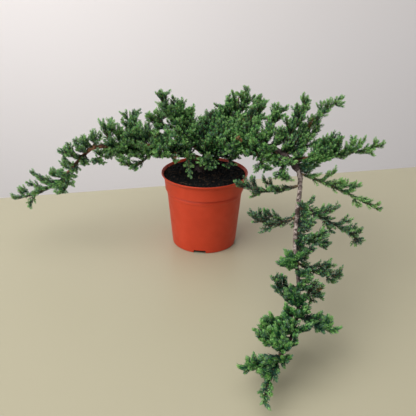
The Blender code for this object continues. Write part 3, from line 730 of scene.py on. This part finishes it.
def twig_has_room(name, points, radii):
    """True if a twig keeps to its mass's space, which is all that is nearer its stem than any
    other's, and is clear of the other masses, the limbs, the pot and the table."""
    room = radii.max() + WOOD_GAP
    over_pot = np.hypot(points[:, 0], points[:, 1]) < POT_EDGE + room
    heights = points[:, 2]
    if (over_pot & (heights < POT_TOP + room)).any() or (heights < radii + TABLE_CLEARANCE).any():
        return False
    if (depth_outside(points) < radii + WOOD_GAP).any():
        return False
    own = norm(points[:, None] - grown[name]["stem"][None], axis=2).min(axis=1)
    for other, mass in grown.items():
        stem = mass["stem"]
        if other == name or norm(stem - points[0], axis=1).min() > NEIGHBOUR_REACH:
            continue
        if (norm(points[:, None] - stem[None], axis=2).min(axis=1) < own).any():
            return False
        reach = norm(points[:, None] - mass["places"][None], axis=2)
        if (reach - mass["radii"]).min(axis=1).min() < radii.min() + WOOD_GAP:
            return False
    return True


def grow_mass_twigs(name):
    """The curves of a mass's side twigs, by a rule that its seed varies."""
    longest, count, seed = MASSES[name][4:]
    mass = grown[name]
    stem = mass["stem"]
    frames = carried_frames(stem)
    chance = random.Random(seed)
    twigs = []
    for number in range(count):
        share = (number + 0.5) / count
        place = TWIG_FIRST + (TWIG_LAST - TWIG_FIRST) * share
        around = radians(TWIG_AROUND[(number + seed) % len(TWIG_AROUND)] + chance.uniform(-18, 18))
        opening = radians(TWIG_OPENING + chance.uniform(-TWIG_JITTER, TWIG_JITTER))
        length = longest * (1 - TWIG_TAPER * share) * chance.uniform(0.88, 1.1)
        for cut in TWIG_CUTS:
            curve = side_curve(stem, frames, place, around, opening, length * cut, TWIG_LIFT)
            points = line_points(curve)
            radii = core_radius(len(points) - 1)
            if length * cut >= SHORTEST_TWIG and twig_has_room(name, points, radii):
                mass["places"] = np.concatenate([mass["places"], points])
                mass["radii"] = np.concatenate([mass["radii"], radii])
                twigs.append(curve)
                break
    return twigs


def grow_limb_shoots(name, first, last, spacing, root_length, tip_length, facing, spread, chance):
    """Leafy side shoots straight out of a limb, between the masses' stems."""
    axis = limbs[name]["axis"]
    frames = carried_frames(axis)
    count = max(2, round(len(axis) * (last - first) / spacing))
    curves = []
    for number in range(count):
        share = number / (count - 1)
        turn = facing + spread * (2 * (number * 0.618 + 0.3) % 2 - 1) + chance.uniform(-15, 15)
        opening = radians(LIMB_SHOOT_OPENING + chance.uniform(-12, 12))
        length = (root_length + (tip_length - root_length) * share) * chance.uniform(0.7, 1.1)
        place = first + (last - first) * share
        curve = side_curve(axis, frames, place, radians(turn), opening, length, LIMB_SHOOT_LIFT)
        outer = on_curve(curve, np.linspace(0.4, 1, 7))
        room = depth_outside(outer).min()
        if not hits_mix(outer, 3.5) and room > LIMB_SHOOT_CLEARANCE:
            curves.append(curve)
    return curves


def grow_fingers(curve, first, lengths, pitch, chance):
    """Finger shoots along a stem or a twig, each shorter towards its tip, turned up to the light."""
    points = line_points(curve)
    frames = carried_frames(points)
    span = norm(curve[3] - curve[0]) * (1 - first)
    count = max(1, round(span / pitch))
    fingers = []
    for number in range(count):
        share = (number + 0.6) / (count + 0.6)
        place = first + (1 - first) * share
        around = radians(FINGER_AROUND[number % len(FINGER_AROUND)] + chance.uniform(-24, 24))
        opening = radians(FINGER_OPENING + chance.uniform(-9, 9))
        length = (lengths[0] + (lengths[1] - lengths[0]) * share) * chance.uniform(0.7, 1.15)
        finger = side_curve(points, frames, place, around, opening, length, FINGER_LIFT)
        outer = on_curve(finger, np.linspace(0.35, 1, 5))
        if not hits_mix(outer, 2.2) and depth_outside(outer).min() > FINGER_CLEARANCE:
            fingers.append(finger)
    return fingers


def round_shoots(curves, ways):
    """(aside, above) square to the ways that shoots run, for what stands round them."""
    aside = np.cross(curves[..., 3, :] - curves[..., 0, :], np.array((0.31, 0.47, 0.83)))
    aside = aside - ways * (aside * ways).sum(-1, keepdims=True)
    aside = aside / norm(aside, axis=-1, keepdims=True)
    return aside, np.cross(ways, aside)


def shoot_wood(shoots, rings, sides):
    """The wood of many shoots at once: thin tapering tubes, as points and triangles."""
    curves = np.array([shoot["curve"] for shoot in shoots])[:, None]
    first = np.array([shoot["first"] for shoot in shoots])[:, None]
    thick = np.array([shoot["thick"] for shoot in shoots])
    along = np.linspace(0, 1, rings)
    shares = first * 0.6 + (0.97 - first * 0.6) * along
    centres = on_curve(curves, shares)
    aside, above = round_shoots(curves, heading_on(curves, shares))
    radii = thick[:, 0, None] + (thick[:, 1] - thick[:, 0])[:, None] * along
    angles = np.arange(sides) * tau / sides
    around = aside[:, :, None] * np.cos(angles)[:, None] + above[:, :, None] * np.sin(angles)[:, None]
    points = (centres[:, :, None] + around * radii[:, :, None, None]).reshape(-1, 3)
    tube = tube_triangles(rings, sides)
    last = (rings - 1) * sides
    for k in range(1, sides - 1):
        tube += [(0, k + 1, k), (last, last + k, last + k + 1)]
    triangles = np.array(tube)[None] + (np.arange(len(shoots)) * rings * sides)[:, None, None]
    return points, triangles.reshape(-1, 3)


def add_shoot(mass, kind, curve, thick, first=0.0):
    """One more shoot for the lists that its wood and its needles are made from."""
    shoots.append({"mass": mass, "kind": kind, "curve": curve, "first": first, "thick": thick})


grown = {}
shoots = []
for name, (limb, place, tip, bow, *_) in MASSES.items():
    curve, first = curve_from(limbs[limb], place, tip, bow, STEM_RADIUS)
    count = steps_along(curve, first)
    line = on_curve(curve, np.linspace(first, 1, count + 1))
    grown[name] = {"stem": line, "places": line, "radii": core_radius(count)}
    add_shoot(name, "stem", curve, STEM_THICKNESS, first)
for name in MASSES:
    for curve in grow_mass_twigs(name):
        add_shoot(name, "twig", curve, TWIG_THICKNESS)
chance = random.Random(17)
for name, *place_and_size in LIMB_SHOOTS:
    for curve in grow_limb_shoots(name, *place_and_size, chance):
        add_shoot(name, "twig", curve, LIMB_SHOOT_THICKNESS)
        for side in grow_fingers(curve, SIDE_SHOOT_FIRST, SIDE_SHOOT_LENGTH, SIDE_SHOOT_PITCH, chance):
            add_shoot(name, "twig", side, SIDE_SHOOT_THICKNESS)
for shoot in list(shoots):
    first, lengths = FINGER_FIRST, FINGER_LENGTH
    if shoot["kind"] == "stem":
        first, lengths = shoot["first"], STEM_FINGER_LENGTH
    pitch = TAIL_FINGER_PITCH if shoot["mass"].startswith("tail") else FINGER_PITCH
    for curve in grow_fingers(shoot["curve"], first, lengths, pitch, chance):
        add_shoot(shoot["mass"], "finger", curve, FINGER_THICKNESS)

twig_bark, twig_surface = new_finish("twig_bark", (0.16, 0.10, 0.05), 0.75)
twig_colour = mottled(twig_bark, 400.0, 3.0, TWIG_BARK)
twig_bark.node_tree.links.new(twig_colour, twig_surface.inputs["Base Color"])
for kind, (rings, sides) in WOOD_SHAPES.items():
    some = [shoot for shoot in shoots if shoot["kind"] == kind]
    piece = mesh_of(f"{kind}_wood", *shoot_wood(some, rings, sides), [twig_bark], smooth=True)
    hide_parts(*MASSES)

# ---- Needles ----
# Short pointed needles in whorls of three, each turned a sixth from the last, closing over the bud
# at a shoot's tip. Old ones are dark and young ones light, and those near the heart of the crown are
# painted darker as shade; some have a waxy bloom and a few are dry.
# kind: (whorls' spacing, length, width, degrees open at the tip and more lower down, spread of tones)
NEEDLE_KINDS = {
    "awl": (1.4, 3.4, 1.7, 16, 37, 0.95),
    "slim": (1.4, 3.3, 1.6, 13, 29, 0.95),
    "scale": (1.1, 4.2, 1.9, 10, 26, 0.6),
}
NEEDLE_ROOT = 0.35
NEEDLE_CURL = 0.55
NEEDLE_KEEL = 0.6
YOUNG, OLD = (3.2, 1.5), (5.5, 8)  # how far from the shoot's tip
GREENS = (  # from the shaded heart of the plant to its newest tips
    (0.003, 0.019, 0.012), (0.012, 0.070, 0.031), (0.044, 0.185, 0.050),
    (0.124, 0.355, 0.085), (0.280, 0.545, 0.160),
)
BLUES = (  # the same where the bloom is thick, most of all on the hanging branch
    (0.003, 0.018, 0.014), (0.012, 0.057, 0.040), (0.036, 0.138, 0.074),
    (0.104, 0.270, 0.106), (0.235, 0.450, 0.155),
)
TONES = len(GREENS)
BLOOM = 2 * TONES
DRY = BLOOM + 1
# region: (how the names of its masses and limbs start, tone of its shoots, share of blue shoots, kind)
REGIONS = {
    "left": (("left_", "bough_left"), 2.7, 0.55, "slim"),
    "crown_left": (("crown_left", "soil_tuft", "crown_front", "leader_left"), 2.35, 0.15, "slim"),
    "crown_right": (("crown_middle", "crown_right", "leader_right", "trunk"), 2.1, 0.1, "slim"),
    "right": (("right_",), 2.2, 0.05, "slim"),
    "right_boughs": (("bough_right",), 2.0, 0.1, "slim"),
    "cascade": (("cascade_left", "cascade_right", "cascade_upper"), 1.85, 0.7, "slim"),
    "tail": (("tail", "cascade_lower"), 2.5, 0.4, "scale"),
    "rear": (("rear_", "bough_rear"), 1.8, 0.1, "awl"),
}
# Tones added to single masses' shoots. The darkening of the trunk's shoots, crown_right_low and
# crown_middle, deep in the lower middle of the crown, is painted shade.
BRIGHTER = {
    "right_far": 0.6, "right_droop": 0.9, "right_lift": 0.4, "crown_front": 0.5, "soil_tuft": 1.9,
    "cascade_left_tuft": -0.7, "cascade_lower": -0.55, "trunk": -0.9,
    "crown_right_low": -0.9, "crown_middle": -0.3,
}
OLDER = {"stem": -1.2, "twig": -0.3, "finger": 0.0}
# Painted shade: shoots whose tips lie near the heart of the crown are dealt darker tones, the nearer the
# darker.
HEART = Vector((8.0, -8.0, 112.0))
HEART_REACH = 55.0
HEART_SHADE = 1.9
DRY_SPOTS = ((38, -55, 152), (33, -31, 158), (109, -218, 61), (114, -64, 177), (-32, -36, 123))
DRY_REACH = 2.8
DRY_SHARE = 0.002
WAXY_GREEN, WAXY_BLUE = 0.12, 0.35


def needles_on(shoots, dress, kind, seed):
    """All the needles of many shoots, as points, triangles and the finish of every triangle. Their
    dress is four rows: each shoot's tone, its family of greens, if it is dry and its waxy share."""
    rng = np.random.default_rng(seed)
    pitch, full_length, full_width, tip_opening, more_opening, variety = NEEDLE_KINDS[kind]
    curves = np.array([shoot["curve"] for shoot in shoots])
    firsts = np.array([shoot["first"] for shoot in shoots])
    spans = norm(curves[:, 3] - curves[:, 0], axis=1) * (1 - firsts)
    counts = np.maximum(4, np.round(spans / pitch)).astype(int)
    shoot_of = np.repeat(np.arange(len(shoots)), counts)
    whorl = np.arange(len(shoot_of)) - np.repeat(np.cumsum(counts) - counts, counts)
    share = (whorl + 0.6) / counts[shoot_of]
    place = firsts[shoot_of] + (1 - firsts[shoot_of]) * share
    to_tip = (1 - share) * spans[shoot_of]
    centre = on_curve(curves[shoot_of], place)
    way = heading_on(curves[shoot_of], place)
    aside, above = round_shoots(curves[shoot_of], way)
    turn = rng.uniform(0, tau, len(shoots))[shoot_of] + whorl * pi / 3
    size = rng.uniform(0.82, 1.1, len(shoots))[shoot_of]
    closing = np.clip(to_tip / 3.0, 0, 1) ** 0.8
    tones, families, dry, waxiness = dress[:, shoot_of]
    fresh = tones + (to_tip < YOUNG[0]) + (to_tip < YOUNG[1])
    aged = fresh - (to_tip > OLD[0]) - 0.8 * (to_tip > OLD[1])
    parts, finishes = [], []
    for third in range(3):
        angle = turn + third * tau / 3 + rng.normal(0, 0.2, len(turn))
        out = aside * np.cos(angle)[:, None] + above * np.sin(angle)[:, None]
        opening = np.radians(tip_opening + more_opening * closing + rng.normal(0, 7, len(turn)))[:, None]
        length = full_length * size * (0.75 + 0.25 * closing) * rng.uniform(0.8, 1.12, len(turn))
        length = length[:, None]
        lean = np.cos(opening) * way + np.sin(opening) * out
        end = np.cos(opening * NEEDLE_CURL) * way + np.sin(opening * NEEDLE_CURL) * out
        across = np.cross(way, out)
        keel = np.cross(across, lean)
        keel = keel * np.sign((keel * out).sum(-1, keepdims=True))
        root = centre + out * NEEDLE_ROOT
        middle = root + lean * length * 0.5
        half = full_width / 2 * np.sqrt(length / full_length) * (0.85 + 0.15 * closing)[:, None]
        parts.append(np.stack([
            root, middle + across * half, middle - across * half, middle + keel * half * NEEDLE_KEEL,
            middle + end * length * 0.5], axis=1))
        tone = np.clip(np.round(aged + rng.normal(0, variety, len(turn))), 0, TONES - 1)
        finishes.append(np.where(dry > 0, DRY, families * TONES + tone))
    points = np.concatenate(parts).reshape(-1, 3)
    needle = np.array([(0, 1, 3), (0, 3, 2), (1, 4, 3), (3, 4, 2), (0, 2, 1), (1, 2, 4)])
    total = len(points) // 5
    triangles = (needle[None] + 5 * np.arange(total)[:, None, None]).reshape(-1, 3)
    finish = np.repeat(np.concatenate(finishes)[:, None], 6, axis=1)
    waxy = (rng.random(total) < np.tile(waxiness, 3)) & (finish[:, 0] < BLOOM)
    finish[waxy, 4:] = BLOOM
    return points, triangles, finish.astype(int).ravel()


needle_finishes = []
for name, colours in (("green_needles", GREENS), ("blue_needles", BLUES)):
    for tone, colour in enumerate(colours):
        needle_finishes.append(new_finish(f"{name}_{tone}", colour, 0.45)[0])
needle_finishes.append(new_finish("needle_bloom", (0.17, 0.29, 0.22), 0.55)[0])
needle_finishes.append(new_finish("dry_needles", (0.36, 0.18, 0.075), 0.7)[0])

chance = random.Random(29)
for region, (starts, tone, blue, kind) in REGIONS.items():
    masses = [name for name in [*MASSES, *LIMBS] if name.startswith(starts)]
    some = [shoot for shoot in shoots if shoot["mass"].startswith(starts)]
    dress = []
    for shoot in some:
        tip = Vector(shoot["curve"][3])
        patch = 1.1 * noise.noise(tip / 22.0)
        # painted shade, darker towards the heart of the crown
        shade = HEART_SHADE * max(0.0, 1 - (tip - HEART).length / HEART_REACH)
        age_and_shade = OLDER[shoot["kind"]] - shade
        brighter = BRIGHTER.get(shoot["mass"], 0.0)
        own_tone = tone + patch + age_and_shade + brighter + chance.gauss(0, 0.35)
        family = chance.random() < blue
        dry = min((tip - Vector(spot)).length for spot in DRY_SPOTS) < DRY_REACH
        dry = dry or chance.random() < DRY_SHARE
        dress.append((own_tone, family, dry, WAXY_BLUE if family else WAXY_GREEN))
    points, triangles, finish = needles_on(some, np.array(dress).T, kind, len(region))
    piece = mesh_of(f"needles_{region}", points, triangles, needle_finishes, finish)
    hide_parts(*masses)

# ---- Table, wall, light and camera ----
# A plain beige table top, whose back edge runs a little askew, with a plain pale wall well behind
# it. A large soft light stands to the left in front, one hangs above, and one lights the wall.
TABLE_EDGE = Vector((0.0, 190.0, 0))
TABLE_TURN = radians(13.0)
TABLE_HALF = 3500
ROOM_HALF = 4000
TABLE_FRONT = -3000
WALL_PLACE = 1400.0
WALL_FOOT, WALL_TOP = -2000, 3000
CAMERA_TARGET = Vector((4.55, 0, 43.2))
CAMERA_DISTANCE = 800.0
CAMERA_TILT = radians(24.3)
CAMERA_ROLL = radians(0.67)
SENSOR_WIDTH = 36.0
VIEW_WIDTH = 416.0
FOCUS = 642.0  # both in dots across the view
# name: (place and aim in metres, width in metres, watts, colour)
SOFT_LIGHTS = {
    "window_light": ((-1.30, -0.98, 1.34), (0.0, 0.0, 0.10), 2.2, 35.0, (1.0, 0.985, 0.98)),
    "ceiling_light": ((-0.32, -0.10, 1.50), (-0.02, 0.18, 0.50), 2.3, 17.2, (1.0, 0.99, 0.99)),
    "wall_light": ((-0.62, 0.62, 0.38), (-0.28, 1.40, -0.02), 1.0, 3.3, (1.0, 0.985, 0.985)),
}
ROOM_COLOUR = (0.93, 0.96, 1.0, 1.0)
ROOM_STRENGTH = 0.28


def plain_sheet(name, corners, material):
    """A flat stage sheet between four corners."""
    mesh = bpy.data.meshes.new(name)
    mesh.from_pydata([tuple(Vector(corner) * MM) for corner in corners], [], [(0, 1, 2, 3)])
    mesh.materials.append(material)
    sheet = set_out(name, mesh)


table_paint = new_finish("table_paint", (0.455, 0.420, 0.292), 0.42, 0.35)[0]
wall_paint = new_finish("wall_paint", (0.87, 0.822, 0.795), 0.9)[0]
along = Vector((cos(TABLE_TURN), sin(TABLE_TURN), 0)) * TABLE_HALF
plain_sheet("table", (
    (-ROOM_HALF, TABLE_FRONT, 0), (ROOM_HALF, TABLE_FRONT, 0),
    TABLE_EDGE + along, TABLE_EDGE - along), table_paint)
plain_sheet("wall", (
    (-ROOM_HALF, WALL_PLACE, WALL_FOOT), (ROOM_HALF, WALL_PLACE, WALL_FOOT),
    (ROOM_HALF, WALL_PLACE, WALL_TOP), (-ROOM_HALF, WALL_PLACE, WALL_TOP)), wall_paint)

back = Vector((0, -cos(CAMERA_TILT), sin(CAMERA_TILT)))
right = Vector((1, 0, 0))
rise = Vector((0, sin(CAMERA_TILT), cos(CAMERA_TILT)))
across = right * cos(CAMERA_ROLL) + rise * sin(CAMERA_ROLL)
upward = -right * sin(CAMERA_ROLL) + rise * cos(CAMERA_ROLL)
camera = set_out("camera", bpy.data.cameras.new("camera"))
stand = Matrix((across, upward, back)).transposed().to_4x4()
stand.translation = (CAMERA_TARGET + back * CAMERA_DISTANCE) * MM
camera.matrix_world = stand
camera.data.lens = FOCUS / VIEW_WIDTH * SENSOR_WIDTH
camera.data.sensor_width = SENSOR_WIDTH
camera.data.clip_start = 0.01
camera.data.clip_end = 20.0
scene.camera = camera

for name, (place, aim, size, power, colour) in SOFT_LIGHTS.items():
    lamp = bpy.data.lights.new(name, "AREA")
    lamp.shape = "SQUARE"
    lamp.size = size
    lamp.energy = power
    lamp.color = colour
    light = set_out(name, lamp)
    light.location = place
    light.rotation_mode = "QUATERNION"
    light.rotation_quaternion = (Vector(aim) - Vector(place)).to_track_quat("-Z", "Y")
world = bpy.data.worlds.new("room")
world.use_nodes = True
glow = world.node_tree.nodes["Background"].inputs
glow["Color"].default_value = ROOM_COLOUR
glow["Strength"].default_value = ROOM_STRENGTH
scene.world = world
scene.view_settings.view_transform = "Standard"
